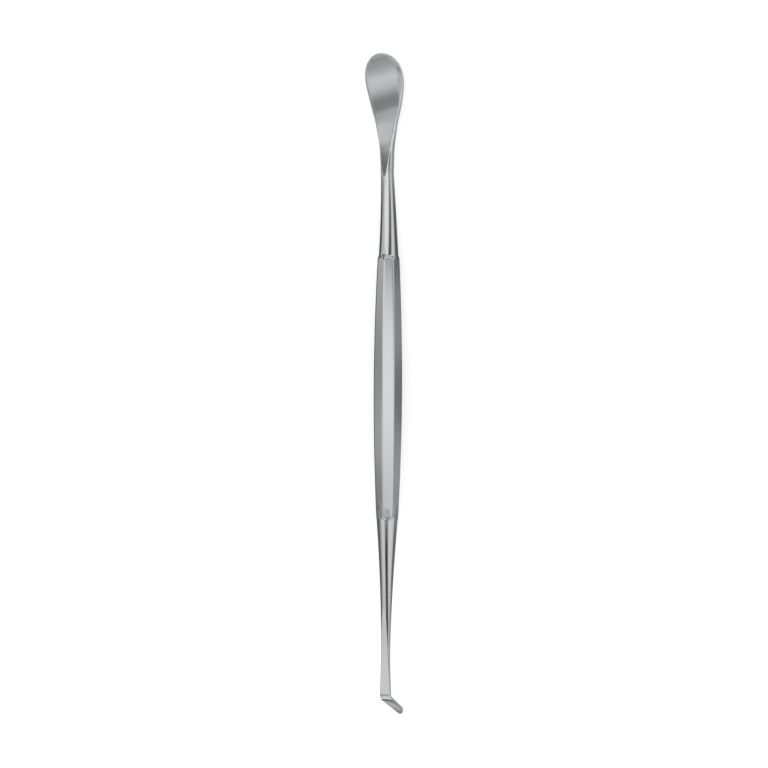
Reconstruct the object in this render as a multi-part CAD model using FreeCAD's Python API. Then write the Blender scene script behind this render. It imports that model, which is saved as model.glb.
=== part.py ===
import FreeCAD, Part
import math
import os

# A double-ended tonsil dissector, forged and ground from one bar of surgical steel.
# It is built along Y with the middle of the handle at the origin: the serrated spoon points to +Y
# and the pillar hook to -Y. Both working ends share one plane, turned about Y from the handle's
# top flat. The finished piece is then laid down as it rests on a table. All sizes in millimetres.

# Handle: an octagon with slightly bellied flats
handle_length = 87.6
handle_flats = 9.66
handle_end_flats = 7.46
sides = 8

# Ends of the handle, turned to a cone like a sharpened pencil
end_cone_length = 1.7
end_cone_angle = 27.0

# The plane of both working ends
working_turn = 30.0

# Neck on the spoon side, which rises a little towards the spoon's face
spoon_neck_length = 29.4
spoon_neck_root = 6.9
spoon_neck_waist = 4.5
spoon_neck_hollow = 0.12
spoon_neck_rise = 1.15

# Spoon: the blank flattens and widens from the neck to a leaf
spoon_length = 40.85
spoon_tip_length = 8.8
spoon_width = 14.9
spoon_thickness = 2.0
spoon_tip_thickness = 1.0
throat_place = 7.0
throat_width = 5.0
throat_thickness = 4.3
throat_rise = 1.23
flank_place = 16.5
flank_width = 8.3
flank_thickness = 3.5
shoulder_place = 24.5
shoulder_width = 12.45
shoulder_thickness = 2.7
leaf_fullness = 2.3

# The spoon's face on its centre line: it leaves the neck in a point, dips and curls up to the tip
face_start = -1.8
face_start_height = 3.33
face_throat_height = 2.62
face_flank_height = 2.38
face_shoulder_height = 2.92
face_widest_height = 3.95
face_tip_height = 5.75
face_skew = 14.0
face_tilt = 4.0
rim_drop = 0.6
tip_rim_drop = 0.4

# Saw teeth round the rim of the spoon
tooth_pitch = 0.9
tooth_depth = 0.22

# Neck on the hook side
hook_neck_length = 46.3
hook_neck_root = 7.4
hook_neck_waist = 3.1
hook_neck_hollow = 0.4
hook_neck_rise = 0.6

# Hook: the bar is ground flat on both faces and bent away from the spoon's face
bar_length = 14.0
bar_width = 4.05
bar_blank_thickness = 2.6
bar_thickness = 1.2
bar_spread = 1.5
bar_fullness = 2.6
ground_length = 31.0
ground_hollow = 0.28
bend_angle = 68.0
bend_outer_radius = 2.35

# Blade of the hook: one side is longer, and the tip is rounded off obliquely
blade_length = 12.7
blade_short_side = 8.3
blade_tip_width = 3.45
blade_corner = 0.7
blade_roundness = 0.62
blade_tip_thickness = 0.8

# How the piece lies on the table
lie_roll = 5.0
lie_tilt = -2.98

AXIS = FreeCAD.Vector(0, 1, 0)
SIDEWAYS = FreeCAD.Vector(1, 0, 0)
UP = FreeCAD.Vector(0, 0, 1)
ORIGIN = FreeCAD.Vector(0, 0, 0)
half_length = handle_length / 2
spoon_start = half_length + spoon_neck_length
spoon_tip = spoon_start + spoon_length
spoon_widest = spoon_tip - spoon_tip_length
hook_waist = -half_length - hook_neck_length
bend_start = hook_waist - bar_length
inside = 3.0
clear = 20.0
stations = 12
mesh_step = 0.02
round_bar = 2.0


def point(across, along, up):
    return FreeCAD.Vector(across, along, up)


def curve_through(points, closed=False):
    curve = Part.BSplineCurve()
    curve.interpolate(points, PeriodicFlag=closed)
    return curve


def prism(edges, start, travel):
    # A flat outline, pushed along one direction
    solid = Part.Face(Part.Wire([edge.toShape() for edge in edges])).extrude(travel)
    solid.translate(start)
    return solid


def smooth(at, places, values):
    # A smooth curve through a few sizes that never swings past them
    steps = list(zip(places, places[1:]))
    rates = [(b - a) / (q - p) for (p, q), a, b in zip(steps, values, values[1:])]
    slopes = [rates[0]]
    for before, after in zip(rates, rates[1:]):
        level = before * after <= 0
        slopes.append(0.0 if level else 2 * before * after / (before + after))
    slopes.append(rates[-1])
    index = sum(1 for place in places[1:-1] if at > place)
    width = places[index + 1] - places[index]
    share = (at - places[index]) / width
    rise = share * share * (3 - 2 * share)
    early = share * (1 - share) ** 2 * width * slopes[index]
    late = share * share * (share - 1) * width * slopes[index + 1]
    return values[index] * (1 - rise) + values[index + 1] * rise + early + late


def bellied_slab():
    # Two opposite flats of the handle: the same long arc above and below
    reach = half_length + end_cone_length
    belly = handle_flats / 2
    fall = (handle_flats - handle_end_flats) / 2 * (reach / half_length) ** 2
    far = belly - fall
    edges = [
        Part.Arc(point(0, -reach, far), point(0, 0, belly), point(0, reach, far)),
        Part.LineSegment(point(0, reach, far), point(0, reach, -far)),
        Part.Arc(point(0, reach, -far), point(0, 0, -belly), point(0, -reach, -far)),
        Part.LineSegment(point(0, -reach, -far), point(0, -reach, far)),
    ]
    return prism(edges, point(-handle_flats, 0, 0), point(2 * handle_flats, 0, 0))


def turned_ends():
    # A turned body that trims the octagon's corners at both ends of the handle
    corner = handle_end_flats / 2 / math.cos(math.pi / sides)
    slope = math.tan(math.radians(end_cone_angle))
    wide = corner + slope * end_cone_length
    narrow = corner - slope * end_cone_length
    start = half_length - end_cone_length
    end = half_length + end_cone_length
    outline = [
        point(0, -end, 0),
        point(narrow, -end, 0),
        point(wide, -start, 0),
        point(handle_flats, -start, 0),
        point(handle_flats, start, 0),
        point(wide, start, 0),
        point(narrow, end, 0),
        point(0, end, 0),
    ]
    face = Part.Face(Part.makePolygon(outline + outline[:1]))
    return face.revolve(ORIGIN, AXIS, 360)


def handle():
    body = turned_ends()
    for side in range(sides // 2):
        slab = bellied_slab()
        slab.rotate(ORIGIN, AXIS, side * 360 / sides)
        body = body.common(slab)
    return body


def oval(along, middle, width, thickness, fullness=round_bar):
    # One section of the bar: a circle or ellipse, with fuller corners above a fullness of 2
    points = []
    steps = 24
    for step in range(steps):
        angle = 2 * math.pi * step / steps
        c = math.cos(angle)
        s = math.sin(angle)
        across = width / 2 * math.copysign(abs(c) ** (2 / fullness), c)
        up = thickness / 2 * math.copysign(abs(s) ** (2 / fullness), s)
        points.append(point(across, along, middle + up))
    return Part.Wire(curve_through(points, closed=True).toShape())


def lofted(start, end, section):
    # A solid through evenly spaced sections from start to end
    step = (end - start) / (stations - 1)
    return Part.makeLoft([section(start + step * index) for index in range(stations)], True)


def neck_width(share, root, waist, hollow):
    # A neck's diameter, share of the way from the handle to its waist
    return root + (waist - root) * share - 8 * hollow * share * (1 - share)


def face_height(along):
    # Height of the spoon's face on its centre line
    start = spoon_start + face_start
    curl = (face_tip_height - face_widest_height) / spoon_tip_length
    places = [start - clear, start, spoon_start + throat_place, spoon_start + flank_place]
    places += [spoon_start + shoulder_place, spoon_widest, spoon_tip, spoon_tip + inside]
    heights = [face_start_height, face_start_height, face_throat_height, face_flank_height]
    heights += [face_shoulder_height, face_widest_height, face_tip_height]
    heights += [face_tip_height + curl * inside]
    return smooth(along, places, heights)


def spoon_section(along):
    # Round in the neck, then flatter, wider and fuller towards the leaf
    share = (along - half_length) / spoon_neck_length
    if share < 1:
        width = neck_width(share, spoon_neck_root, spoon_neck_waist, spoon_neck_hollow)
        return oval(along, spoon_neck_rise * max(share, 0) ** 2, width, width)
    places = [0, throat_place, flank_place, shoulder_place, spoon_length - spoon_tip_length]
    places = [spoon_start + place for place in places] + [spoon_tip + inside]
    spare = tooth_depth
    widths = [spoon_neck_waist, throat_width, flank_width, shoulder_width + spare]
    widths += [spoon_width + spare, spoon_width + spare]
    depths = [spoon_neck_waist, throat_thickness, flank_thickness, shoulder_thickness]
    depths += [spoon_thickness, spoon_tip_thickness]
    middles = [spoon_neck_rise, throat_rise]
    middles += [face_height(place) - rim_drop for place in places[2:5]]
    middles += [face_height(places[5]) - tip_rim_drop]
    mean = (round_bar + leaf_fullness) / 2
    fullness = [round_bar, mean, mean, leaf_fullness, leaf_fullness, leaf_fullness]
    sizes = [smooth(along, places, values) for values in (middles, widths, depths, fullness)]
    return oval(along, *sizes)


def leaf_half_width(along):
    # Half the leaf's width over the tips of its teeth
    if along > spoon_widest:
        run = min((along - spoon_widest) / spoon_tip_length, 1)
        return spoon_width / 2 * math.sqrt(1 - run ** 2)
    places = [spoon_start, spoon_start + throat_place, spoon_start + flank_place]
    places += [spoon_start + shoulder_place, spoon_widest, spoon_widest + inside]
    widths = [spoon_neck_waist, throat_width, flank_width, shoulder_width]
    widths += [spoon_width, spoon_width]
    return smooth(along, places, widths) / 2


def leaf_edge():
    # The right-hand edge of the leaf, from its flank to the tip
    start = spoon_start + flank_place
    steps = 30
    edge = []
    for step in range(steps):
        along = start + (spoon_widest - start) * step / steps
        edge.append(point(leaf_half_width(along), along, 0))
    for step in range(steps + 1):
        angle = math.pi / 2 * step / steps
        along = spoon_widest + spoon_tip_length * math.sin(angle)
        edge.append(point(spoon_width / 2 * math.cos(angle), along, 0))
    return curve_through(edge)


def toothed_leaf():
    # Saw teeth round the leaf, the same on both sides, with the bar left free behind them
    edge = leaf_edge()
    teeth = round(edge.length() / tooth_pitch)
    right = edge.discretize(Number=2 * teeth + 1)
    for step in range(1, 2 * teeth, 2):
        travel = right[step + 1] - right[step - 1]
        right[step] = right[step] - travel.cross(UP).normalize() * tooth_depth
    left = [point(-place.x, place.y, 0) for place in reversed(right[:-1])]
    start = right[0].y
    corners = [
        point(-clear, start, 0),
        point(-clear, 0, 0),
        point(clear, 0, 0),
        point(clear, start, 0),
    ]
    outline = right + left + corners
    face = Part.Face(Part.makePolygon(outline + outline[:1]))
    face.translate(point(0, 0, -clear))
    return face.extrude(UP * 2 * clear)


def ground_away():
    # What is ground off the spoon's face: its curve, pushed across on the skew
    start = spoon_start + face_start - inside
    end = spoon_tip + inside
    steps = 30
    places = [start + (end - start) * step / steps for step in range(steps + 1)]
    face = [point(0, along, face_height(along)) for along in places]
    edges = [
        curve_through(face),
        Part.LineSegment(face[-1], point(0, end, clear)),
        Part.LineSegment(point(0, end, clear), point(0, start, clear)),
        Part.LineSegment(point(0, start, clear), face[0]),
    ]
    skew = math.radians(face_skew)
    across = point(math.cos(skew), math.sin(skew), math.tan(math.radians(face_tilt)))
    return prism(edges, across * -clear, across * 2 * clear)


def spoon_end():
    blank = lofted(half_length - inside, spoon_tip + inside, spoon_section)
    return blank.common(toothed_leaf()).cut(ground_away())


def hook_section(along):
    # Round in the neck, then a flattened bar
    share = (-along - half_length) / hook_neck_length
    if share < 1:
        width = neck_width(share, hook_neck_root, hook_neck_waist, hook_neck_hollow)
        return oval(along, hook_neck_rise * max(share, 0), width, width)
    run = (hook_waist - along) / bar_length
    width = hook_neck_waist + (bar_width - hook_neck_waist) * run ** bar_spread
    thickness = hook_neck_waist + (bar_blank_thickness - hook_neck_waist) * run
    fullness = round_bar + (bar_fullness - round_bar) * run
    return oval(along, hook_neck_rise, width, thickness, fullness)


def ground_flats():
    # What two wheels leave of the bar: it thins hollow towards the bend
    start = bend_start + ground_length
    thin = bar_thickness / 2
    share = (-start - half_length) / hook_neck_length
    full = neck_width(share, hook_neck_root, hook_neck_waist, hook_neck_hollow) / 2
    middle = (start + bend_start) / 2
    mean = (thin + full) / 2 - ground_hollow
    free = clear / 2
    edges = [
        Part.Arc(point(0, bend_start, thin), point(0, middle, mean), point(0, start, full)),
        Part.LineSegment(point(0, start, full), point(0, start, free)),
        Part.LineSegment(point(0, start, free), point(0, 0, free)),
        Part.LineSegment(point(0, 0, free), point(0, 0, -free)),
        Part.LineSegment(point(0, 0, -free), point(0, start, -free)),
        Part.LineSegment(point(0, start, -free), point(0, start, -full)),
        Part.Arc(point(0, start, -full), point(0, middle, -mean), point(0, bend_start, -thin)),
        Part.LineSegment(point(0, bend_start, -thin), point(0, bend_start, thin)),
    ]
    return prism(edges, point(-clear, 0, hook_neck_rise), point(2 * clear, 0, 0))


def bar_end():
    # The flat bar's section where the bend begins
    low = hook_neck_rise - bar_thickness / 2
    high = hook_neck_rise + bar_thickness / 2
    corners = [
        point(-bar_width, bend_start, low),
        point(bar_width, bend_start, low),
        point(bar_width, bend_start, high),
        point(-bar_width, bend_start, high),
    ]
    band = Part.Face(Part.makePolygon(corners + corners[:1]))
    return Part.Face(hook_section(bend_start)).common(band).Faces[0]


def blade_plan():
    # The hook's blade seen from its face, with a tip rounded off obliquely
    wide = bar_width / 2
    end = bend_start - blade_length
    short = bend_start - blade_short_side
    start = -wide + blade_corner
    reach = blade_tip_width - blade_corner
    turn = blade_corner * (1 - math.sqrt(0.5))
    corner = point(-wide, end + blade_corner, 0)
    corner_middle = point(-wide + turn, end + turn, 0)
    tip = point(start, end, 0)
    across = blade_roundness * reach
    tip_middle = point(start + across, short + blade_roundness * (end - short), 0)
    shoulder = point(start + reach, short, 0)
    edges = [
        Part.LineSegment(point(-wide, bend_start, 0), corner),
        Part.Arc(corner, corner_middle, tip),
        Part.Arc(tip, tip_middle, shoulder),
        Part.LineSegment(shoulder, point(wide, bend_start, 0)),
        Part.LineSegment(point(wide, bend_start, 0), point(-wide, bend_start, 0)),
    ]
    return prism(edges, point(0, 0, -clear), UP * 2 * clear)


def blade_wedge():
    # The blade seen from its side: it thins towards the tip
    thick = bar_thickness / 2
    thin = blade_tip_thickness / 2
    end = bend_start - blade_length
    edges = [
        Part.LineSegment(point(0, bend_start, thick), point(0, end, thin)),
        Part.LineSegment(point(0, end, thin), point(0, end, -thin)),
        Part.LineSegment(point(0, end, -thin), point(0, bend_start, -thick)),
        Part.LineSegment(point(0, bend_start, -thick), point(0, bend_start, thick)),
    ]
    return prism(edges, point(-clear, 0, hook_neck_rise), point(2 * clear, 0, 0))


def hook_end():
    # The straight bar, its bend and the blade, which turns about the bend's centre
    bar = lofted(-half_length + inside, bend_start, hook_section).common(ground_flats())
    centre = point(0, bend_start, hook_neck_rise + bar_thickness / 2 - bend_outer_radius)
    bend = bar_end().revolve(centre, SIDEWAYS, bend_angle)
    blade = bar_end().extrude(AXIS * -blade_length).common(blade_plan()).common(blade_wedge())
    blade.rotate(centre, SIDEWAYS, bend_angle)
    return bar.fuse(bend).fuse(blade)


def centre_and_floor(body):
    # The middle and the lowest level of the piece, from close points on its surface
    points = body.tessellate(mesh_step)[0]
    low = point(*[min(place[i] for place in points) for i in range(3)])
    high = point(*[max(place[i] for place in points) for i in range(3)])
    return (low + high) / 2, low.z


def dissector():
    spoon = spoon_end()
    hook = hook_end()
    for end in (spoon, hook):
        end.rotate(ORIGIN, AXIS, -working_turn)
    body = handle().fuse(spoon).fuse(hook).removeSplitter()
    body.rotate(ORIGIN, AXIS, lie_roll)
    body.rotate(ORIGIN, SIDEWAYS, lie_tilt)
    middle, floor = centre_and_floor(body)
    body.translate(point(-middle.x, -middle.y, -floor))
    return body


os.makedirs("parts", exist_ok=True)
whole = dissector()
print("valid", whole.isValid(), "solids", len(whole.Solids), "volume", round(whole.Volume, 1))
whole.exportStep("parts/tonsil_dissector.step")
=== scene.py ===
# %% [markdown]
# # A tonsil dissector, dressed for its picture
# The real object is one bar of surgical steel: an octagonal handle, a round neck on each side, a
# serrated spoon at one end and a flat bent hook at the other. The solid model gives its shape and
# its place. A solid's mesh is made of flat triangles, and polished steel shows every one of them in
# its reflections, so this scene works the same surface out again as one fine, smooth grid.

# %% Load the frame
import math

import bmesh
import bpy
import numpy as np
from mathutils import Matrix


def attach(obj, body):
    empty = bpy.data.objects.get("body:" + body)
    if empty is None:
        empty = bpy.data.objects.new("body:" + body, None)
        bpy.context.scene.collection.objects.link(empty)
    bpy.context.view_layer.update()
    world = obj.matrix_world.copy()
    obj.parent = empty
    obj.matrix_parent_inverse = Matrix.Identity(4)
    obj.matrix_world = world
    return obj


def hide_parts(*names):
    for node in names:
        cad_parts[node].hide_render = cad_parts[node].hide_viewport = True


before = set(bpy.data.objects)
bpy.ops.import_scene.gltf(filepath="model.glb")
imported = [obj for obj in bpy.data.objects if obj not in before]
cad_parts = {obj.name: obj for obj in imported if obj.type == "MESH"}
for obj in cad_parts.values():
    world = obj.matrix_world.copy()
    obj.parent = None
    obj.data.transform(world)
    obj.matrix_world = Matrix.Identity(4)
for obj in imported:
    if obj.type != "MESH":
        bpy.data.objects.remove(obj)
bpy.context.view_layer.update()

# %% [markdown]
# ## Sizes of the real thing
# These are the sizes that the solid model has, in millimetres, with three small differences: the
# teeth are cut deeper here, as the photograph shows them, the spoon's face is given at more places,
# and edges are rounded less. The instrument is worked out straight, along t, with u across and w up,
# and is laid down on the table at the very end.

# %% Sizes
HANDLE_HALF, HANDLE_FLATS, HANDLE_END_FLATS = 43.8, 9.66, 7.46
CONE_LENGTH, CONE_SLOPE = 1.7, math.tan(math.radians(27))
WORKING_TURN = math.radians(30)
SPOON_START, SPOON_LENGTH, SPOON_TIP_LENGTH, SPOON_WIDTH = 73.2, 40.85, 8.8, 14.9
SPOON_NECK = {"root": 6.9, "waist": 4.5, "hollow": 0.12, "rise": 1.15, "length": 29.4}
HOOK_NECK = {"root": 7.4, "waist": 3.1, "hollow": 0.4, "rise": 0.6, "length": 46.3}
THROAT, FLANK, SHOULDER = 7.0, 16.5, 24.5
THROAT_WIDTH, FLANK_WIDTH, SHOULDER_WIDTH = 5.0, 8.3, 12.45
TOOTH_PITCH, TOOTH_DEPTH = 0.9, 0.36
FACE_SKEW, FACE_TILT = math.radians(14), math.radians(4)
BAR_LENGTH, BAR_WIDTH, BAR_BLANK, BAR_THICKNESS = 14.0, 4.05, 2.6, 1.2
GROUND_LENGTH, GROUND_HOLLOW = 31.0, 0.28
BEND_ANGLE, BEND_OUTER = math.radians(68), 2.35
BLADE_LENGTH, BLADE_SHORT, BLADE_TIP_WIDTH, BLADE_CORNER = 12.7, 8.3, 3.45, 0.7
BLADE_ROUNDNESS, BLADE_TIP_THICKNESS = 0.62, 0.8
LIE_ROLL, LIE_TILT = math.radians(5.0), math.radians(-2.98)
MM = 0.001

SPOON_TIP = SPOON_START + SPOON_LENGTH
SPOON_WIDEST = SPOON_TIP - SPOON_TIP_LENGTH
HOOK_WAIST = -HANDLE_HALF - HOOK_NECK["length"]
BEND_START = HOOK_WAIST - BAR_LENGTH
print("from the hook's bend at", round(BEND_START, 1), "to the spoon's tip at", round(SPOON_TIP, 2))

# %% [markdown]
# ## Inside or outside
# Steel is forged and then ground away, so the shape is easiest to say as what every wheel leaves:
# each form below is a function that is below zero inside the metal, about in millimetres. Two forms
# are cut with each other by taking the larger one, and joined by taking the smaller one. A soft
# largest value rounds the edge between them by a few hundredths of a millimetre, as buffing does.


# %% Joining and cutting forms
def soft_largest(values, rounding):
    """The largest of several arrays: rounding times log of the sum of exp(value / rounding)."""
    scaled = np.stack(np.broadcast_arrays(*values)) / rounding
    top = scaled.max(axis=0)
    return rounding * (top + np.log(np.exp(scaled - top).sum(axis=0)))


def soft_smallest(values, rounding):
    """The smallest of several arrays: minus the soft largest of their opposites."""
    return -soft_largest([-value for value in values], rounding)


HANDLE_EDGE, CONE_EDGE, JOIN_EDGE = 0.09, 0.05, 0.04
STRIP_EDGE, RIM_EDGE, FACE_EDGE = 0.05, 0.035, 0.025
print("where two flats meet, rounding adds", round(HANDLE_EDGE * math.log(2), 3), "mm to the form")

# %% [markdown]
# ## Curves through a few sizes
# An outline is measured at a few places only. A cubic that doesn't overshoot gives the sizes between
# them, and so does a circle through three points where the real thing is hollow or bellied. An oval
# between an ellipse and a rectangle is the cross-section of a round bar that was forged flatter.


# %% Curves
def ease(value, start, end):
    """0 before start, 1 after end, and 3 x^2 - 2 x^3 between."""
    share = np.clip((value - start) / (end - start), 0, 1)
    return share**2 * (3 - 2 * share)


def smooth(at, places, values):
    """A cubic through a few sizes; each inner slope is the harmonic mean of its neighbours'."""
    places, values = np.asarray(places, float), np.asarray(values, float)
    widths = np.diff(places)
    rates = np.diff(values) / widths
    before, after = rates[:-1], rates[1:]
    total = np.where(before + after == 0, 1, before + after)
    inner = np.where(before * after > 0, 2 * before * after / total, 0)
    slopes = np.concatenate([rates[:1], inner, rates[-1:]])
    index = np.clip(np.searchsorted(places, at) - 1, 0, len(widths) - 1)
    width = widths[index]
    share = (at - places[index]) / width
    rise = share**2 * (3 - 2 * share)
    bends = share * (1 - share) ** 2 * slopes[index] + share**2 * (share - 1) * slopes[index + 1]
    return values[index] * (1 - rise) + values[index + 1] * rise + bends * width


def circle_of(start, middle, end):
    """Centre and radius of a circle through three points: the centre is as far from each of them."""
    (a, p), (b, q), (c, r) = start, middle, end
    matrix = np.array([[2 * (b - a), 2 * (q - p)], [2 * (c - a), 2 * (r - p)]])
    sums = np.array([b * b - a * a + q * q - p * p, c * c - a * a + r * r - p * p])
    across, up = np.linalg.solve(matrix, sums)
    return across, up, math.hypot(a - across, p - up)


def arc_height(at, start, middle, end):
    """Height of the circle through three points (place, height), on the middle point's side."""
    across, up, radius = circle_of(start, middle, end)
    side = 1.0 if middle[1] > up else -1.0
    return up + side * np.sqrt(np.maximum(radius**2 - (at - across) ** 2, 0))


def oval(u, w, width, thickness, middle, fullness):
    """(|2u/width|^n + |2(w - middle)/thickness|^n)^(1/n) - 1, times half the thickness."""
    across = np.abs(2 * u / width) ** fullness
    up = np.abs(2 * (w - middle) / thickness) ** fullness
    return ((across + up) ** (1 / fullness) - 1) * thickness / 2


print("a quarter of the way, ease gives", ease(0.25, 0, 1))

# %% [markdown]
# ## The handle
# An octagon whose flats belly out a little along their length. Both ends are turned to a cone, as a
# pencil is sharpened, which cuts a small arch into each flat. Eight planes in one soft largest
# value give the flats with their edges slightly broken, and the cone is one more cut.


# %% Handle
def handle_form(u, t, w):
    """The largest of u cos a + w sin a - belly(t) over eight flats, cut by a cone at each end."""
    reach = HANDLE_HALF + CONE_LENGTH
    belly = HANDLE_FLATS / 2
    far = belly - (HANDLE_FLATS - HANDLE_END_FLATS) / 2 * (reach / HANDLE_HALF) ** 2
    flat = arc_height(t, (-reach, far), (0, belly), (reach, far))
    angles = np.arange(8) * math.pi / 4
    flats = [u * math.cos(angle) + w * math.sin(angle) - flat for angle in angles]
    corner = HANDLE_END_FLATS / 2 / math.cos(math.pi / 8)
    cone = np.hypot(u, w) - corner + CONE_SLOPE * (np.abs(t) - HANDLE_HALF)
    return soft_largest([soft_largest(flats, HANDLE_EDGE), cone], CONE_EDGE)


print("on a flat the form is", round(float(handle_form(HANDLE_FLATS / 2, 0.0, 0.0)), 3))

# %% [markdown]
# ## The necks
# Each neck is a round bar that narrows towards its working end with a slightly hollow outline. A
# straight taper with a small parabola taken off says that in one line.


# %% Necks
def neck_width(share, neck):
    """The taper root + (waist - root) share, less the parabola 8 hollow share (1 - share)."""
    taper = neck["root"] + (neck["waist"] - neck["root"]) * share
    return taper - 8 * neck["hollow"] * share * (1 - share)


for name, neck in {"spoon": SPOON_NECK, "hook": HOOK_NECK}.items():
    print("halfway, the neck of the", name, "is", round(neck_width(0.5, neck), 2), "mm wide")

# %% [markdown]
# ## The spoon's face
# A large wheel, held on a skew, grinds the face of the spoon: where it runs out into the round neck
# it leaves a long sharp V. A curve for the height of the face on the centre line, slid sideways
# along the skew, is that wheel. The wheel's slight tilt sideways begins where the V does.


# %% The spoon's face
from_start = [
    (-26, 3.165), (-6.5, 3.17), (-3.5, 3.24), (-1.7, 3.285), (0.2, 3.24), (2.4, 3.09), (4.5, 2.9),
    (7.9, 2.63), (11.3, 2.46), (FLANK, 2.38), (20.8, 2.535), (SHOULDER, 2.87),
]
from_tip = [(-SPOON_TIP_LENGTH, 3.95), (-2.2, 5.3), (0, 5.84), (3, 6.62)]
FACE_PLACES = [SPOON_START + at for at, _ in from_start] + [SPOON_TIP + at for at, _ in from_tip]
FACE_HEIGHTS = [height for _, height in from_start + from_tip]
TILT_START, TILT_FULL = SPOON_START - 1, SPOON_START + 11


def face_height(along):
    """Height of the face on the centre line: from the neck down into the hollow, up to the tip."""
    return smooth(along, FACE_PLACES, FACE_HEIGHTS)


def face_form(u, t, w):
    """w - face(t - u tan skew) - u tan(tilt) / cos(skew), where the tilt eases in over the V."""
    slid = face_height(t - u * math.tan(FACE_SKEW))
    tilt = math.tan(FACE_TILT) * ease(t, TILT_START, TILT_FULL)
    return w - slid - u * tilt / math.cos(FACE_SKEW)


print("the face dips to", round(float(face_height(SPOON_START + FLANK)), 2), "mm above the bar's axis")

# %% [markdown]
# ## The spoon's blank
# Before it is ground, the spoon is forged: the neck flattens and widens into a leaf that follows the
# face from below. Four sizes change along it, each by a smooth curve through six places, and the
# neck's own sizes take over before the first of them. The height of the blank's middle is given
# itself at the first two places, and as how far it lies below the face at the other four.


# %% The spoon's blank
LEAF_PLACES = [SPOON_START + along for along in (0, THROAT, FLANK, SHOULDER)] + [SPOON_WIDEST]
NECK_RISES = (SPOON_NECK["rise"], 1.23)
BELOW_FACE = (0.6, 0.6, 0.6, 0.4)


def spoon_sizes(t):
    """Middle height, width, thickness and fullness of the blank at each place."""
    places = LEAF_PLACES + [SPOON_TIP + 3]
    middles = [*NECK_RISES, *(face_height(np.array(places[2:])) - BELOW_FACE)]
    wide = SPOON_WIDTH + TOOTH_DEPTH
    shoulder = SHOULDER_WIDTH + TOOTH_DEPTH
    widths = [SPOON_NECK["waist"], THROAT_WIDTH, FLANK_WIDTH, shoulder, wide, wide]
    depths = [SPOON_NECK["waist"], 4.3, 3.5, 2.7, 2.0, 1.0]
    fullness = [2.0, 2.15, 2.15, 2.3, 2.3, 2.3]
    inner = [smooth(t, places, sizes) for sizes in (middles, widths, depths, fullness)]
    share = (t - HANDLE_HALF) / SPOON_NECK["length"]
    round_width = neck_width(share, SPOON_NECK)
    outer = [SPOON_NECK["rise"] * np.maximum(share, 0) ** 2, round_width, round_width, 2.0]
    return [np.where(share < 1, first, second) for first, second in zip(outer, inner)]


def spoon_form(u, t, w):
    """The larger of the oval blank and the ground face."""
    middle, width, thickness, fullness = spoon_sizes(t)
    blank = oval(u, w, width, thickness, middle, fullness)
    return soft_largest([blank, face_form(u, t, w)], FACE_EDGE)


def leaf_half_width(t):
    """Half the leaf's width midway between the tips and roots of its teeth, to its widest place."""
    places = LEAF_PLACES + [SPOON_WIDEST + 3]
    widths = [SPOON_NECK["waist"], THROAT_WIDTH, FLANK_WIDTH, SHOULDER_WIDTH, SPOON_WIDTH, SPOON_WIDTH]
    return smooth(t, places, widths) / 2


print("the leaf widens from", SPOON_NECK["waist"], "to", SPOON_WIDTH, "mm")

# %% [markdown]
# ## The hook
# On the other side the bar is ground hollow from both faces until it is a flat strip, and then bent.
# The strip is worked out straight. Its blade has one longer side and an oblique round tip, and thins
# towards the tip.


# %% Hook
BAR_FLARE, BAR_SQUARENESS = 1.5, 0.6


def bar_form(u, t, w):
    """The larger of the blank, a round neck that flattens into a bar, and the two ground faces."""
    share = (-t - HANDLE_HALF) / HOOK_NECK["length"]
    run = np.clip((HOOK_WAIST - t) / BAR_LENGTH, 0, 1)
    waist = HOOK_NECK["waist"]
    round_width = neck_width(np.minimum(share, 1), HOOK_NECK)
    width = np.where(run > 0, waist + (BAR_WIDTH - waist) * run**BAR_FLARE, round_width)
    thickness = np.where(run > 0, waist + (BAR_BLANK - waist) * run, round_width)
    middle = HOOK_NECK["rise"] * np.clip(share, 0, 1)
    blank = oval(u, w, width, thickness, middle, 2 + BAR_SQUARENESS * run)
    return soft_largest([blank, ground_form(t, w)], STRIP_EDGE)


def ground_form(t, w):
    """|w - rise| less the hollow arc that the wheels leave, which is free before it starts."""
    start = BEND_START + GROUND_LENGTH
    full = neck_width((-start - HANDLE_HALF) / HOOK_NECK["length"], HOOK_NECK) / 2
    thin = BAR_THICKNESS / 2
    middle = ((start + BEND_START) / 2, (thin + full) / 2 - GROUND_HOLLOW)
    inside = np.clip(t, BEND_START, start)
    left = arc_height(inside, (BEND_START, thin), middle, (start, full))
    return np.abs(w - HOOK_NECK["rise"]) - left - np.maximum(t - start, 0)


def blade_form(u, t, w):
    """The larger of the strip's constant section and a wedge that thins towards the tip."""
    blank = oval(u, w, BAR_WIDTH, BAR_BLANK, HOOK_NECK["rise"], 2 + BAR_SQUARENESS)
    run = np.clip((BEND_START - t) / BLADE_LENGTH, 0, 1)
    half = (BAR_THICKNESS + (BLADE_TIP_THICKNESS - BAR_THICKNESS) * run) / 2
    return soft_largest([blank, np.abs(w - HOOK_NECK["rise"]) - half], STRIP_EDGE)


halfway = -2 * float(ground_form(BEND_START + GROUND_LENGTH / 2, HOOK_NECK["rise"]))
print("halfway along the ground stretch, the wheels leave", round(halfway, 2), "mm between them")

# %% [markdown]
# ## Rings
# The whole piece is one grid: rings that follow each other from the hook's tip to the spoon's tip.
# A ring has a centre inside the metal and 96 rays that leave it. Each ray is followed until it
# leaves the metal, by halving the stretch between a point inside and a point outside again and
# again, for all the rays at once. On round bars the rays are spread evenly; on the flat ends they
# aim at a square instead, so that the wide faces get as many points as they need; and on the
# handle they crowd a little towards its eight edges.


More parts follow.
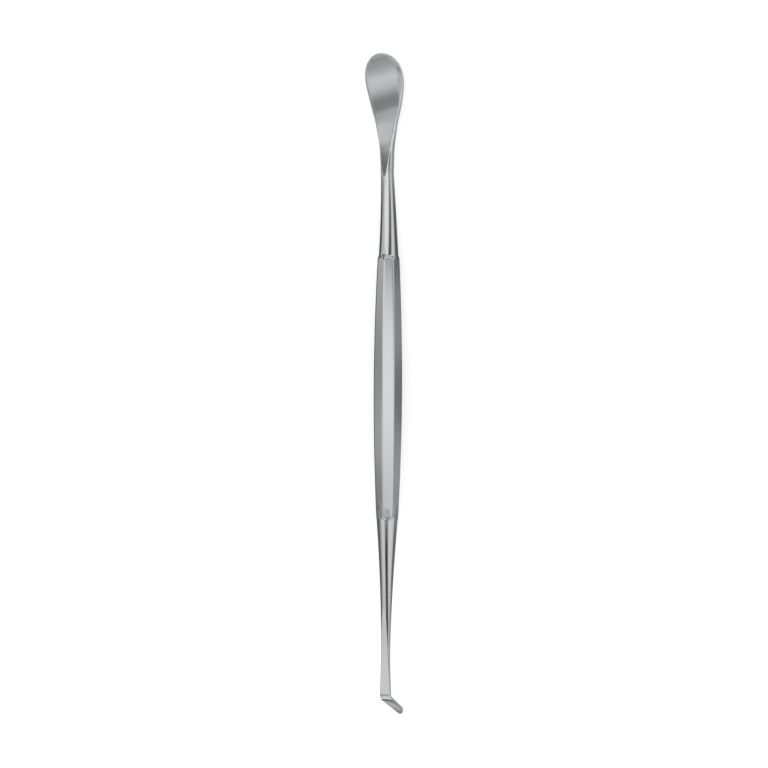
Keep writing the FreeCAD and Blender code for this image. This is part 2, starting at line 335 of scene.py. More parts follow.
# %% Rays
RAYS, EDGE_CROWDING = 96, 0.08
HALVINGS, FARTHEST = 28, 4.0
ray = np.arange(RAYS)
round_angle = ray * 2 * math.pi / RAYS
square_corner = [0, 6, 42, 54, 90, 96]
square_x = np.interp(ray, square_corner, [1, 1, -1, -1, 1, 1])
square_y = np.interp(ray, square_corner, [0, 1, 1, -1, -1, 0])
square_angle = np.unwrap(np.arctan2(square_y, square_x))
crowding = EDGE_CROWDING * np.sin(8 * (round_angle + WORKING_TURN - math.pi / 8))


def rays_at(squareness, edges):
    """Angles of the rays: from even to square by one share, crowded to eight edges by another."""
    mixed = round_angle + np.multiply.outer(squareness, square_angle - round_angle)
    return mixed - np.multiply.outer(edges, crowding)


def surface(centre, right, left, up, angles, form):
    """centre + s (reach |cos a|, up sin a), with s found between 0 and 4 by halving where form is 0."""
    across = np.abs(np.cos(angles))[..., None]
    reach = np.where(np.cos(angles)[..., None] >= 0, right[:, None], left[:, None]) * across
    step = np.concatenate([reach, (up[:, None] * np.sin(angles))[..., None]], axis=2)
    low, high = np.zeros(angles.shape), np.full(angles.shape, FARTHEST)
    for _ in range(HALVINGS):
        half = (low + high) / 2
        u, t, w = np.moveaxis(centre[:, None] + step * half[..., None], 2, 0)
        outside = form(u, t, w, half * across[..., 0]) > 0
        low, high = np.where(outside, low, half), np.where(outside, half, high)
    return centre[:, None] + step * ((low + high) / 2)[..., None]


def columns(*parts):
    """Numbers and arrays side by side, one row for each ring."""
    return np.stack(np.broadcast_arrays(*parts), axis=1).astype(float)


print(RAYS, "rays in each ring, each followed to", FARTHEST / 2**HALVINGS, "of its first guess")

# %% [markdown]
# ## The straight run
# From one working end to the other the rings stand square to the bar. The rings are close together
# where the cones cut their arches and where the spoon's face leaves the neck in its V, and far apart
# on the long flats. The working ends are turned about the bar by 30 degrees from the handle, so the
# handle's own form is asked for its size in coordinates turned back by the same angle.


# %% The form of the run
TURN_COS, TURN_SIN = math.cos(WORKING_TURN), math.sin(WORKING_TURN)
OVERLAP = 3


def run_form(u, t, w, out=None):
    """The smallest of the handle, the spoon's side above it and the hook's side below it."""
    handle = handle_form(u * TURN_COS - w * TURN_SIN, t, u * TURN_SIN + w * TURN_COS)
    spoon = spoon_form(u, np.maximum(t, HANDLE_HALF - OVERLAP), w)
    hook = bar_form(u, np.minimum(t, OVERLAP - HANDLE_HALF), w)
    return soft_smallest([handle, np.where(t > 0, spoon, hook)], JOIN_EDGE)


def spread(*stretches):
    """Places along the bar: each stretch (start, end, count) evenly, without repeating its end."""
    return np.concatenate([np.linspace(a, b, count, endpoint=False) for a, b, count in stretches])


ARCH, ARCH_LENGTH, FLAT_RUN, V_LENGTH = HANDLE_HALF - 2.6, 5.5, 20, 6
LEAF_START = SPOON_START + FLANK
run = spread(
    (BEND_START, BEND_START + FLAT_RUN, 50), (BEND_START + FLAT_RUN, -ARCH - ARCH_LENGTH, 56),
    (-ARCH - ARCH_LENGTH, -ARCH, 50), (-ARCH, ARCH, 64), (ARCH, ARCH + ARCH_LENGTH, 50),
    (ARCH + ARCH_LENGTH, SPOON_START - V_LENGTH, 36), (SPOON_START - V_LENGTH, LEAF_START, 96),
)
print("straight run", len(run), "rings")

# %% [markdown]
# A ray needs a first guess of how far it goes, and a ring needs a centre inside the metal. On the
# spoon's side both come from the blank and the face. On the handle and the hook's side the centre
# follows the neck's rise, and the guess is a plain 3 mm that eases to half the strip's thickness.
# The guess may be too long, and it may be too short by a factor of up to four.

# %% The straight run
NO_FACE, ROUND_GUESS = 99, 3.0
middle, width, thickness, fullness = spoon_sizes(run)
face_top = np.where(run > SPOON_START - 3, face_height(run), NO_FACE)
top, bottom = np.minimum(middle + thickness / 2, face_top), middle - thickness / 2
hook_rise = HOOK_NECK["rise"] * np.clip((-run - HANDLE_HALF) / HOOK_NECK["length"], 0, 1)
flat_end = ease(-run, -BEND_START - FLAT_RUN, -BEND_START)
spoon_side = run > HANDLE_HALF
level = np.where(spoon_side, (top + bottom) / 2, hook_rise)
hook_up = ROUND_GUESS + (BAR_THICKNESS / 2 - ROUND_GUESS) * flat_end
reach_up = np.where(spoon_side, (top - bottom) / 2, hook_up)
reach_out = np.where(spoon_side, width / 2, ROUND_GUESS - flat_end)
squareness = np.where(run > 0, ease(run, SPOON_START + 4, LEAF_START), flat_end)
edges = 1 - ease(np.abs(run), HANDLE_HALF + 2, HANDLE_HALF + 14)
run_points = surface(
    columns(0, run, level), columns(reach_out, 0), columns(-reach_out, 0), reach_up,
    rays_at(squareness, edges), run_form,
)
print("straight run", run_points[..., 1].min().round(1), "to", run_points[..., 1].max().round(1), "mm")

# %% [markdown]
# ## The leaf's edge and its teeth
# Teeth are spaced along the edge of the leaf, not along the bar, so the edge is walked first: it is
# drawn as a fine curve and its length added up. Each ring then reaches to the point at its own
# length. A triangle wave of that length moves the point out to the tip of a tooth and in to the root
# between two teeth, by half the teeth's depth each way.


# %% The leaf's edge
def walk(curve, shares):
    """Points at shares of the length of a fine curve, and that length."""
    steps = np.hypot(*np.diff(curve, axis=0).T)
    walked = np.concatenate([[0], np.cumsum(steps)])
    at = np.asarray(shares) * walked[-1]
    return np.stack([np.interp(at, walked, axis) for axis in curve.T], axis=1), walked[-1]


EDGE_STEPS, RINGS_PER_TOOTH = 400, 6
sides = np.linspace(LEAF_START, SPOON_WIDEST, EDGE_STEPS)
turns = np.linspace(0, math.pi / 2, EDGE_STEPS + 1)[1:]
tip_u = SPOON_WIDTH / 2 * np.cos(turns)
tip_t = SPOON_WIDEST + SPOON_TIP_LENGTH * np.sin(turns)
edge = np.concatenate([columns(leaf_half_width(sides), sides), columns(tip_u, tip_t)])
length = walk(edge, [0])[1]
teeth = round(length / TOOTH_PITCH)
step = np.arange(teeth * RINGS_PER_TOOTH + 1)
plain_rim = walk(edge, step / step[-1])[0]
travel = np.gradient(plain_rim, axis=0)
travel[-1] = [-1, 0]
inward = columns(-travel[:, 1], travel[:, 0]) / np.hypot(*travel.T)[:, None]
bite = TOOTH_DEPTH * (1 - np.abs(1 - 2 * (step / RINGS_PER_TOOTH % 1)))
rim = plain_rim + inward * (bite - TOOTH_DEPTH / 2)[:, None]
print("edge of the leaf", round(length, 1), "mm with", teeth, "teeth on each side")

# %% [markdown]
# The leaf is the spoon's form cut off at that edge. Round the tip the rings fan out, because their
# centres lag behind the points that they reach to, until the last ring folds shut on itself.

# %% Leaf
CENTRE_LAG = 0.3
core = plain_rim[:, 1] - CENTRE_LAG * np.maximum(plain_rim[:, 1] - SPOON_WIDEST, 0)
middle, width, thickness, fullness = spoon_sizes(core)
top = np.minimum(face_height(core), middle + thickness / 2)
level, reach_up = (top + middle - thickness / 2) / 2, (top - middle + thickness / 2) / 2
reach = rim - columns(0, core)
far = np.hypot(*reach.T)[:, None]
leaf_points = surface(
    columns(0, core, level), reach, reach * [-1, 1], reach_up,
    rays_at(np.ones(len(core)), np.zeros(len(core))),
    lambda u, t, w, out: soft_largest([spoon_form(u, t, w), (out - 1) * far], RIM_EDGE),
)
print("leaf", len(leaf_points), "rings")

# %% [markdown]
# ## The blade's outline
# The hook's blade has a straight short side, an oblique round tip and a small round corner where the
# tip meets the long side. Its two edges are walked like the leaf's, and the rings fan out towards
# the tip as on the spoon, with centres on a slanting line.


# %% The blade's outline
def circle_through(start, middle, end, count):
    """Points on the circle through three points, from the first by way of the second."""
    across, up, radius = circle_of(start, middle, end)
    angles = np.unwrap([math.atan2(y - up, x - across) for x, y in (start, middle, end)])
    swept = np.linspace(angles[0], angles[2], count)
    return [across, up] + radius * columns(np.cos(swept), np.sin(swept))


FAN_RINGS, STRAIGHT_RINGS, CENTRE_SLANT, TIP_MARGIN = 60, 34, 0.9, 1.3
half = BAR_WIDTH / 2
end, short = BEND_START - BLADE_LENGTH, BEND_START - BLADE_SHORT
tip = (BLADE_CORNER - half, end)
shoulder = (BLADE_TIP_WIDTH - half, short)
bulge = BLADE_ROUNDNESS * (BLADE_TIP_WIDTH - BLADE_CORNER)
oblique = (tip[0] + bulge, short + BLADE_ROUNDNESS * (end - short))
turn = BLADE_CORNER * (1 - math.sqrt(0.5))
nose = [(-half, end + BLADE_CORNER), (turn - half, end + turn), tip]
long_side = np.concatenate([[[-half, short]], circle_through(*nose, 60)])
fan = np.linspace(1, 0, FAN_RINGS, endpoint=False)
right_fan = walk(circle_through(shoulder, oblique, tip, 200), fan)[0]
left_fan = walk(long_side, fan)[0]
core_fan = columns(-CENTRE_SLANT * fan, short + (end + TIP_MARGIN - short) * fan)
straight = np.linspace(short, BEND_START, STRAIGHT_RINGS)
slope = (straight - short) / (BEND_START - short)
right_side = columns(shoulder[0] + (half - shoulder[0]) * slope, straight)
right_rim = np.concatenate([right_fan, right_side])
left_rim = np.concatenate([left_fan, columns(-half, straight)])
core = np.concatenate([core_fan, columns(0, straight)])
print("blade", len(core), "rings, of which", FAN_RINGS, "fan out")

# %% [markdown]
# ## The blade and its bend
# The strip is bent over a small radius. The blade is worked out straight, and then turned about the
# bend's centre. The bend itself is the strip's first ring, repeated and turned a little more each
# time.


# %% Blade
def bent(points, angle):
    """Points turned about the bend's centre, each ring by its own angle from the bar."""
    pivot_t, pivot_w = BEND_START, HOOK_NECK["rise"] + BAR_THICKNESS / 2 - BEND_OUTER
    t, w = points[..., 1] - pivot_t, points[..., 2] - pivot_w
    cos, sin = np.cos(angle)[:, None], np.sin(angle)[:, None]
    turned = [points[..., 0], pivot_t + t * cos - w * sin, pivot_w + t * sin + w * cos]
    return np.stack(turned, axis=-1)


BEND_RINGS = 26
rings = len(core)
run = (core[:, 1] - end) / BLADE_LENGTH
thin = BLADE_TIP_THICKNESS + (BAR_THICKNESS - BLADE_TIP_THICKNESS) * run
right_reach, left_reach = right_rim - core, left_rim - core
far = np.stack([np.hypot(*right_reach.T), np.hypot(*left_reach.T)])
flat_rays = rays_at(np.ones(rings), np.zeros(rings))
edge_far = np.where(np.cos(flat_rays) >= 0, far[0][:, None], far[1][:, None])
centre = columns(core[:, 0], core[:, 1], HOOK_NECK["rise"])
blade_points = surface(
    centre, right_reach, left_reach, thin / 2, flat_rays,
    lambda u, t, w, out: soft_largest([blade_form(u, t, w), (out - 1) * edge_far], RIM_EDGE),
)
blade_points = bent(blade_points, np.full(rings, BEND_ANGLE))
bend = np.linspace(BEND_ANGLE, 0, BEND_RINGS + 2)[1:-1]
bend_points = bent(np.repeat(run_points[:1], len(bend), axis=0), bend)
print("hook", rings + len(bend), "rings")

# %% [markdown]
# ## One grid, laid down
# All rings are put in one row, and the piece is laid down as it rests on the table: on the hook's
# tip, the handle's lower edge and the back of the spoon. The solid is laid down by the same two
# angles. Neighbouring rings are joined with four-sided faces.


# %% Laying down
def laid_down(points):
    """Points turned by the working turn back to the handle, then rolled and tilted to rest."""
    u, t, w = points.T
    roll = LIE_ROLL - WORKING_TURN
    x, z = u * math.cos(roll) + w * math.sin(roll), w * math.cos(roll) - u * math.sin(roll)
    y = t * math.cos(LIE_TILT) - z * math.sin(LIE_TILT)
    return columns(x, y, t * math.sin(LIE_TILT) + z * math.cos(LIE_TILT))


straight_grid = np.concatenate([blade_points, bend_points, run_points, leaf_points])
rings = straight_grid.shape[0]
points = straight_grid.reshape(-1, 3)
resting = laid_down(points)
shift = np.append(-(resting.min(0) + resting.max(0))[:2] / 2, -resting[:, 2].min())
resting = (resting + shift) * MM
number = np.arange(rings * RAYS).reshape(rings, RAYS)
beside = np.roll(number, -1, axis=1)
faces = np.stack([number[:-1], number[1:], beside[1:], beside[:-1]], axis=-1).reshape(-1, 4)
print("points", len(points), "faces", len(faces))

# %% [markdown]
# ## One mesh
# The grid becomes a mesh that is shaded smooth. The rings at the two tips are folded shut, so points
# lie on each other there: merging them closes the mesh, and then all its faces are turned outwards.
# An edge that hasn't two faces would be a hole, so those are counted.


# %% Mesh
def mesh_of(name, points, faces):
    """A mesh object at the origin, of points in metres and faces that number them."""
    mesh = bpy.data.meshes.new(name)
    mesh.from_pydata(points.tolist(), [], faces.tolist())
    made = bpy.data.objects.new(name, mesh)
    bpy.context.scene.collection.objects.link(made)
    return made


def store(made, name, values):
    """Puts one number on each point of a mesh, under a name that its material can read."""
    layer = made.data.attributes.new(name, "FLOAT", "POINT")
    layer.data.foreach_set("value", values.astype(np.float32))


def closed(made):
    """Merges the points that lie on each other and turns all faces outwards."""
    shape = bmesh.new()
    shape.from_mesh(made.data)
    bmesh.ops.remove_doubles(shape, verts=shape.verts, dist=1e-7)
    bmesh.ops.recalc_face_normals(shape, faces=shape.faces)
    open_edges = sum(1 for line in shape.edges if not line.is_manifold)
    print("open edges", open_edges, "volume", round(shape.calc_volume(signed=True) * 1e9, 1), "mm3")
    shape.to_mesh(made.data)
    shape.free()


piece = mesh_of("dissector", resting, faces)
piece.data.polygons.foreach_set("use_smooth", [True] * len(piece.data.polygons))
print("mesh", len(piece.data.vertices), "points before the doubled ones are merged")

# %% [markdown]
# ## Where each finish is
# The same forms also say which wheel or polish touched a point last. The handle is satin, the
# necks are polished, and the spoon's face and the strip's faces show the lines of the wheel that
# ground them. Each finish is stored on the points as a number from 0 to 1 for the material to read.

# %% Finishes
u, t, w = points.T
on_handle = np.abs(t) < HANDLE_HALF + 2
handle_t = np.where(on_handle, t, 0)
handle_gap = handle_form(u * TURN_COS - w * TURN_SIN, handle_t, u * TURN_SIN + w * TURN_COS)
satin = np.where(on_handle, 1 - ease(np.abs(handle_gap), 0.02, 0.1), 0)
on_spoon = t > SPOON_START - 4
face_gap = face_form(u, np.where(on_spoon, t, SPOON_START), w)
wheel = np.where(on_spoon, 1 - ease(np.abs(face_gap), 0.03, 0.12), 0)
strip_end = BEND_START + GROUND_LENGTH
wheel = np.where(t < strip_end, ease(-t, -strip_end, -BEND_START - 8), wheel)
store(piece, "satin", satin)
store(piece, "wheel", wheel)
closed(piece)
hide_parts("tonsil_dissector")
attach(piece, "root")
print("satin", round(float(satin.mean()), 2), "of the points, ground", round(float(wheel.mean()), 2))

# %% [markdown]
# ## Arithmetic with nodes
# A material's maths is a web of nodes, but it reads best as a sum. One small class gives the sockets
# of nodes the signs of arithmetic, so that a line of Python adds the Math nodes it needs.


# %% Shader arithmetic
class Wire:
    """The output of a node. Sums and products of wires add Math nodes to the material."""

    def __init__(self, socket):
        self.socket = socket

    def node(self, kind, settings, sockets, output=0):
        """A new node: its settings first, then a value or a wire for each socket."""
        tree = self.socket.id_data
        made = tree.nodes.new("ShaderNode" + kind)
        for name, value in settings.items():
            setattr(made, name, value)
        for name, value in sockets.items():
            if isinstance(value, Wire):
                tree.links.new(value.socket, made.inputs[name])
            else:
                made.inputs[name].default_value = value
        return Wire(made.outputs[output])

    def math(self, operation, first, second):
        return self.node("Math", {"operation": operation}, {0: first, 1: second})

    def __add__(self, other):
        return self.math("ADD", self, other)

    def __sub__(self, other):
        return self.math("SUBTRACT", self, other)

    def __rsub__(self, other):
        return self.math("SUBTRACT", other, self)

    def __mul__(self, other):
        return self.math("MULTIPLY", self, other)

    def __radd__(self, other):
        return self + other

    def __rmul__(self, other):
        return self * other


def material(name):
    """An empty material, its Principled shader, and its Object coordinates as a wire."""
    made = bpy.data.materials.new(name)
    made.use_nodes = True
    shader = made.node_tree.nodes["Principled BSDF"]
    here = made.node_tree.nodes.new("ShaderNodeTexCoord").outputs["Object"]
    return made, shader, Wire(here)


def feed(node, name, wire):
    """Links a wire to one socket of a node."""
    node.id_data.links.new(wire.socket, node.inputs[name])


def stored(here, name):
    """A number that was stored on the mesh's points."""
    return here.node("Attribute", {"attribute_name": name}, {}, output=2)


def noise(where, scale, detail):
    """Noise from 0 to 1, with its scale in lumps per metre."""
    return where.node("TexNoise", {}, {"Vector": where, "Scale": scale, "Detail": detail})


# %% [markdown]
# ## Steel
# Polished and satin steel are the same metal: only the scratches differ. They are far too small to
# model, so the roughness stands for them: noise that is drawn out along the piece, and across it on
# the ground faces. A very low bump lets the reflections waver as they do on a piece that was buffed
# by hand.

# %% Steel
POLISHED, SATIN, GROUND, CLOUDS = 0.12, 0.08, 0.01, 0.05
GREY, RED_SHARE, BLUE_SHARE = 0.66, 0.976, 1.026
steel, shader, here = material("surgical steel")
satin, wheel = stored(here, "satin"), stored(here, "wheel")
lengthwise = here.node("Mapping", {}, {"Vector": here, "Scale": (1.0, 0.01, 1.0)})
skewed = {"Vector": here, "Rotation": (0, 0, FACE_SKEW), "Scale": (0.08, 1.0, 0.3)}
crosswise = here.node("Mapping", {}, skewed)
drawn, ground = noise(lengthwise, 3000.0, 2.0), noise(crosswise, 4000.0, 2.0)
cloud, waver = noise(here, 90.0, 2.0), noise(lengthwise, 700.0, 1.0)
lines = drawn + wheel * (ground - drawn)
roughness = POLISHED + satin * SATIN + wheel * GROUND + (cloud - 0.5) * CLOUDS
feed(shader, "Roughness", roughness + (lines - 0.5) * (0.03 + satin * 0.04))
tone = GREY + (cloud - 0.5) * 0.03 + (lines - 0.5) * (0.02 + satin * 0.02)
parts = {"Red": tone * RED_SHARE, "Green": tone, "Blue": tone * BLUE_SHARE}
feed(shader, "Base Color", tone.node("CombineColor", {}, parts))
shader.inputs["Metallic"].default_value = 1.0
relief = waver * 0.6 + lines * 0.04
heights = {"Height": relief, "Strength": 0.25, "Distance": 0.00002}
feed(shader, "Normal", relief.node("Bump", {}, heights))
piece.data.materials.append(steel)
print("steel", len(steel.node_tree.nodes), "nodes")

# %% [markdown]
# ## The floor
# A plain pale floor. It is lit like any other surface, and a little glow is added where a camera
# or a reflection looks at it, so that it comes out nearly white and still takes the soft shadow.


# %% Floor
FLOOR_HALF, FLOOR_COLOUR, FLOOR_GLOW = 6.0, (0.9, 0.9, 0.9, 1), 0.42


def on_stage(name, points, faces):
    """A mesh object for the floor, the tent, the flag and the cards, made as any other mesh."""
    made = mesh_of(name, points, faces)
    return made


def cover(made, wire):
    """Links a shader to a material's output."""
    feed(made.node_tree.nodes["Material Output"], "Surface", wire)


def looked_at(tree):
    """1 for camera, glossy and transmission rays, and 0 for the light that falls on things."""
    path = tree.nodes.new("ShaderNodeLightPath")
    kinds = ["Is Camera Ray", "Is Glossy Ray", "Is Transmission Ray"]
    return sum(Wire(path.outputs[kind]) for kind in kinds)


square = np.array([(-1, -1, 0), (1, -1, 0), (1, 1, 0), (-1, 1, 0)])
floor = on_stage("floor", square * FLOOR_HALF, np.array([(0, 1, 2, 3)]))
pale, shader, here = material("pale floor")
shader.inputs["Base Color"].default_value = FLOOR_COLOUR
shader.inputs["Roughness"].default_value = 1.0
shader.inputs["Specular IOR Level"].default_value = 0.0
seen = looked_at(pale.node_tree)
glow = seen.node("Emission", {}, {"Strength": seen * FLOOR_GLOW})
cover(pale, glow.node("AddShader", {}, {0: Wire(shader.outputs[0]), 1: glow}))
floor.data.materials.append(pale)
print("floor", 2 * FLOOR_HALF, "m wide")

# %% [markdown]
# ## A light tent
# Polished steel has hardly any colour of its own: it shows what stands round it. A photographer
# puts such a piece in a tent of white cloth, lit from outside, and hangs dark strips in it where
# the steel needs a dark line. Here the tent is about half a tube along the piece, and how bright its
# cloth is at each angle and place is worked out on its points. The angle is counted from the camera,
# towards the right. First comes the plain cloth: one curve of brightness over the hook's side, one
# over the spoon's, and an easing between them. Over the spoon's neck a slanting gap is left in the
# cloth, which is the neck's dark line.


# %% The tent's plain cloth
def band(value, middle, half, soft):
    """1 within half of the middle, and easing to 0 over the soft stretch outside that."""
    return 1 - ease(np.abs(value - middle), half, half + soft)


def layered(bright, share, other):
    """bright (1 - share) + other share: a second cloth over a part of the first."""
    return bright * (1 - share) + other * share


def plain_cloth(angle, along):
    """One curve over the angle at each end, a hump over the handle and a gap over the spoon's neck."""
    angles = [-90, -85, -70, -55, -42, -25, 0, 30, 60, 72, 84, 90]
    over_spoon = [0.17, 0.25, 0.62, 1.0, 1.14, 1.08, 1.02, 0.96, 0.88, 0.74, 0.45, 0.25]
    over_hook = [0.42, 0.58, 0.82, 0.98, 0.94, 0.82, 0.74, 0.9, 0.86, 0.76, 0.5, 0.42]
    share = ease(along, -75, -25)
    bright = layered(np.interp(angle, angles, over_hook), share, np.interp(angle, angles, over_spoon))
    bright = bright + 0.08 * band(angle, 0, 12, 14) * band(along, 8, 26, 25)
    gap = 37 - 0.49 * (along - 46)
    return bright * (1 - 0.95 * band(angle, gap, 11, 14) * ease(along, 30, 60))


print("straight above the handle the cloth is", round(float(plain_cloth(0.0, 0.0)), 2), "bright")

# %% [markdown]
# The spoon's face is curved along the piece, so it shows the left side of the tent squeezed
# together: what hangs there in bars across the piece becomes the light and dark bands of the face.
# Each bar is a place along the piece and how bright the cloth is there.


# %% The tent's bars
BARS = [
    (-82, 0.03), (-75, 0.05), (-68, 0.16), (-62, 0.38), (-55, 0.58), (-46, 0.76), (-35, 0.84),
    (-24, 0.98), (-14, 0.86), (-5, 0.48), (0, 0.3), (5, 0.2), (28, 0.28), (40, 0.38), (55, 0.5),
    (65, 0.66), (80, 0.84), (95, 0.98), (111, 0.76), (141, 0.3), (156, 0.2),
]


def between(at, pairs):
    """The value at a place, on straight lines between pairs of a place and a value."""
    return np.interp(at, *zip(*pairs))


def barred(bright, angle, along):
    """The cloth with bars over its left side, a dim patch, and a dark one by the spoon's tip."""
    edge = -68 + 46 * (1 - ease(along, 15, 40))
    share = (1 - ease(angle, edge, edge + 10)) * ease(angle, -90, -82) * ease(along, -91, -82)
    bright = layered(bright, share, between(along, BARS))
    bright = bright * (1 - 0.35 * band(angle, -32, 16, 10) * band(along, -14, 14, 12))
    share = band(along, 125, 40, 15) * ease(angle, -68, -65) * (1 - ease(angle, -52, -42))
    return layered(bright, share, 0.18)


levels = [level for _, level in BARS]
print(len(BARS), "bars, which glow from", min(levels), "to", max(levels))

# %% [markdown]
# The left foot of the tent has a curve of its own along the piece. A place at the right foot, one on
# the left beyond the hook and the two ends are dimmed, and the left foot is a little paler beyond the
# hook. All this was set until the bands in the steel lay about as in the photograph.


# %% The tent's foot and ends
FOOT = [
    (-110, 0.6), (-92, 0.5), (-86, 0.22), (-80, 0.12), (-62, 0.12), (-50, 0.36), (-34, 0.68),
    (-13, 0.5), (8, 0.3), (28, 0.36), (50, 0.55), (66, 0.62),
]


def cloth(angle, along):
    """How bright the whole tent is: the barred cloth, its left foot, and dimmer places and ends."""
    bright = barred(plain_cloth(angle, along), angle, along)
    bright = layered(bright, 1 - ease(angle, -88, -78), between(along, FOOT))
    bright = bright * (1 - 0.4 * band(along, -13, 8, 14) * ease(angle, 66, 76))
    bright = bright * (1 - 0.6 * band(along, -215, 60, 35) * (1 - ease(angle, -45, -25)))
    bright = bright * (1 - 0.4 * ease(along, 180, 350)) * (1 - 0.2 * ease(-along, 250, 400))
    return bright + 0.2 * ease(-along, 200, 300) * (1 - ease(angle, -75, -60))


print("the tent's foot beside the handle is", round(float(between(0, FOOT)), 2), "bright")

# %% [markdown]
# The tent is hung as a grid with its brightness stored on the points. Its material does nothing but
# glow by that number. No camera sees it, it casts no shadow and lights nothing: it shows only in
# reflections, so the object stands in plain light whatever hangs round it.


# %% Hanging the tent
def in_photo(points):
    """Points of the straight instrument as photographed, laid down with it, in metres."""
    u, t, w = np.asarray(points, float).reshape(-1, 3).T
    turned = columns(u * TURN_COS + w * TURN_SIN, t, w * TURN_COS - u * TURN_SIN)
    return (laid_down(turned) + shift) * MM


def on_tube(radius, angle, along):
    """(radius sin angle, along, radius cos angle), with the angle in degrees from the camera."""
    turned = np.radians(angle.ravel())
    return in_photo(columns(radius * np.sin(turned), along.ravel(), radius * np.cos(turned)))


def grid_faces(rows, length):
    """Four-sided faces between the points of a grid."""
    number = np.arange(rows * length).reshape(rows, length)
    corners = [number[:-1, :-1], number[1:, :-1], number[1:, 1:], number[:-1, 1:]]
    return np.stack(corners, axis=-1).reshape(-1, 4)


def glowing(name, points, values):
    """A grid on the stage whose points glow by the given values, and that only reflections see."""
    made = on_stage(name, points, grid_faces(*values.shape))
    store(made, "glow", values.ravel())
    glow_material, _, here = material(name)
    glow = stored(here, "glow")
    cover(glow_material, glow.node("Emission", {}, {"Strength": glow}))
    made.data.materials.append(glow_material)
    made.visible_camera = made.visible_shadow = False
    made.visible_diffuse = made.visible_transmission = False
    glow_material.cycles.emission_sampling = "NONE"
    print(name, len(points), "points")


TENT_RADIUS, TENT_HALF = 450.0, 700
LEFT_FOOT, RIGHT_FOOT = -98, 86
rows, places = np.linspace(LEFT_FOOT, RIGHT_FOOT, 93), np.linspace(-TENT_HALF, TENT_HALF, 141)
angle, along = np.meshgrid(rows, places, indexing="ij")
glowing("light tent", on_tube(TENT_RADIUS, angle, along), cloth(angle, along))
feet = on_tube(TENT_RADIUS, np.array([LEFT_FOOT, RIGHT_FOOT]), np.zeros(2))
print("beside the handle the tent's feet are at heights of", feet[:, 2].round(3), "m")

# %% [markdown]
# ## A dark flag
# A dark flag hangs nearer, over the hook's neck, and gives the neck its dark line. It lies a little
# across the neck, so that its reflection drifts to the right on the way to the hook, and it widens
# on the way. It is darkest along its middle and fades out on all sides.

# %% Dark flag
FLAG_RADIUS, FLAG_BLACK, FLAG_FADE = 120.0, 0.02, 0.9
along, across = np.meshgrid(np.linspace(-56, -96, 21), np.linspace(-1, 1, 25), indexing="ij")
middle = between(along, [(-88, 36), (-83, 24), (-78, 11), (-70, -4), (-62, -9)])
half = between(along, [(-88, 44), (-78, 33), (-62, 25)])
ends = ease(along, -63, -57) + ease(-along, 88, 96)
dark = FLAG_BLACK + FLAG_FADE * np.maximum(ease(np.abs(across), 0.4, 1), ends)
glowing("dark flag", on_tube(FLAG_RADIUS, middle + half * across, along), dark)

# %% [markdown]
# ## Dark cards
# Dark card lies on the floor along both sides of the handle and the necks, and beyond the hook. Only
# reflections see it, and it draws the dark line along the outline that polished steel has on any but
# a white table. The card at the hook's end has light and dark strips across it for the bend and the
# blade, which mirror the floor there.


# %% Dark cards
CARD_HEIGHT, CARD_ACROSS = 0.2, np.array([4.0, 10.0, 16.0, 430.0])
CARD_START, CARD_END, CARD_ROWS = -112, 120, 80
CARDS = {
    "left": {"side": -1, "far": 0.15, "patches": 0, "tail": 0.2},
    "right": {"side": 1, "far": 0.19, "patches": 1, "tail": 1},
}
END_STRIPS = [
    (-170, 0.3), (-140, 0.26), (-120, 0.1), (-118, 0.1), (-117, 0.28), (-116.6, 0.48),
    (-116.1, 0.6), (-115.7, 0.66), (-115, 0.52), (-114.2, 0.38), (-113.4, 0.3), (-112, 0.3),
]


def card_glow(x, y, far, patches, tail):
    """Grey near the piece and darker far off, with two paler patches and paler to both ends."""
    glow = np.where(np.abs(x) < 8, 0.3, far) * (1 - 0.3 * ease(y, -20, 40))
    glow = glow + patches * (0.17 * band(y, 24, 8, 14) + 0.2 * band(y, -34, 8, 14))
    near = np.where(np.abs(x) < 12, 1, tail)
    return glow + 0.28 * ease(y, 58, 76) + 0.3 * ease(-y, 66, 96) * near


def laid_card(name, x, y, values):
    """A card just above the floor, over a grid of places in millimetres."""
    glowing("dark card " + name, columns(x.ravel(), y.ravel(), CARD_HEIGHT) * MM, values)


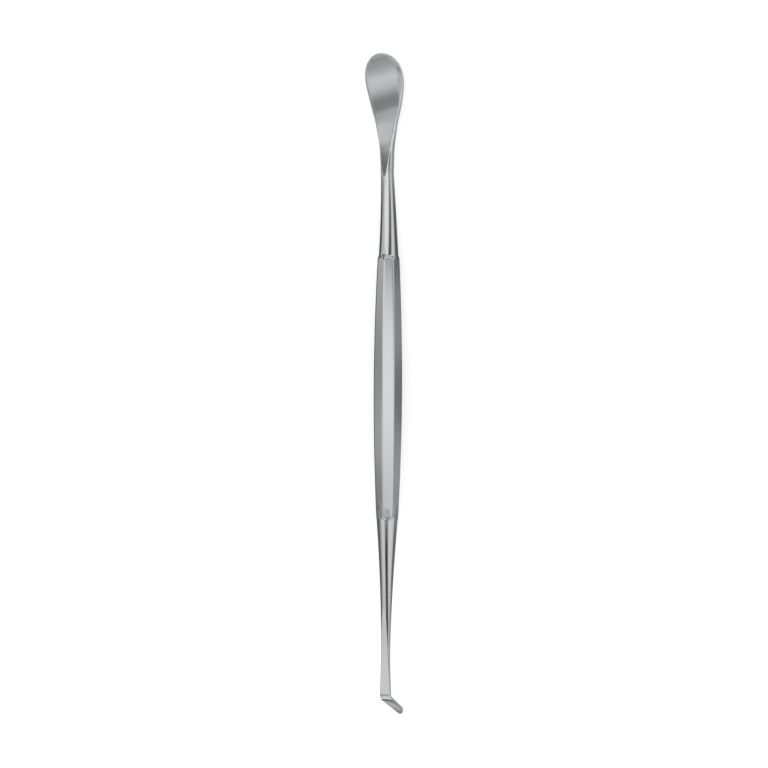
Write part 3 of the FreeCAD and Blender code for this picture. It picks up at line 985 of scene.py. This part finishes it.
for name, card in CARDS.items():
    rows = np.linspace(CARD_START, CARD_END, CARD_ROWS)
    x, y = np.meshgrid(card["side"] * CARD_ACROSS, rows, indexing="ij")
    laid_card(name, x, y, card_glow(x, y, card["far"], card["patches"], card["tail"]))
x, y = np.meshgrid([-40.0, 40.0], [place for place, _ in END_STRIPS], indexing="ij")
laid_card("end", x, y, between(y, END_STRIPS))

# %% [markdown]
# ## The world
# A plain pale world lights the piece softly from all sides. A camera or a reflection that looks past
# the floor sees it a little brighter, as plain white, so that low views have no grey horizon.

# %% World
WORLD_LIGHT = 0.85
world = bpy.data.worlds.new("studio")
world.use_nodes = True
background = world.node_tree.nodes["Background"]
background.inputs["Color"].default_value = (1, 1, 1, 1)
feed(background, "Strength", WORLD_LIGHT + looked_at(world.node_tree) * (1 - WORLD_LIGHT))
bpy.context.scene.world = world
print("world lights by", WORLD_LIGHT)

# %% [markdown]
# ## The camera
# The camera looks along the direction of the photograph, a few degrees from upright, with a long
# lens: a parallel view. Its frame is as wide as 768 pixels of 0.3404 mm, and it is leant by 0.29
# degrees, as the instrument is in the picture. The point under the middle of the picture lies 1.33
# mm to the left of the bar's axis and 1.45 mm from its middle towards the spoon.

# %% Camera
FRAME_PIXELS, PIXEL_SIZE, LEAN = 768, 0.3404, math.radians(0.29)
VIEW_CENTRE, VIEW_FAR = (-1.33, 1.45), 800.0
lens = bpy.data.cameras.new("camera")
lens.type, lens.ortho_scale, lens.clip_end = "ORTHO", FRAME_PIXELS * PIXEL_SIZE * MM, 50.0
camera = bpy.data.objects.new("camera", lens)
bpy.context.scene.collection.objects.link(camera)
corners = [(0, 0, 0), (1, 0, 0), (0, 1, 0), (0, 0, 1), (*VIEW_CENTRE, VIEW_FAR)]
origin, right, up, toward, spot = in_photo(corners)
right, up, toward = (right - origin) / MM, (up - origin) / MM, (toward - origin) / MM
leant_right = right * math.cos(LEAN) + up * math.sin(LEAN)
leant_up = up * math.cos(LEAN) - right * math.sin(LEAN)
axes = [[*axis, 0] for axis in (leant_right, leant_up, toward)]
camera.matrix_world = Matrix(axes + [[*spot, 1]]).transposed()
bpy.context.scene.camera = camera
bpy.context.scene.view_settings.view_transform = "Standard"
print("frame", round(lens.ortho_scale / MM, 1), "mm wide")
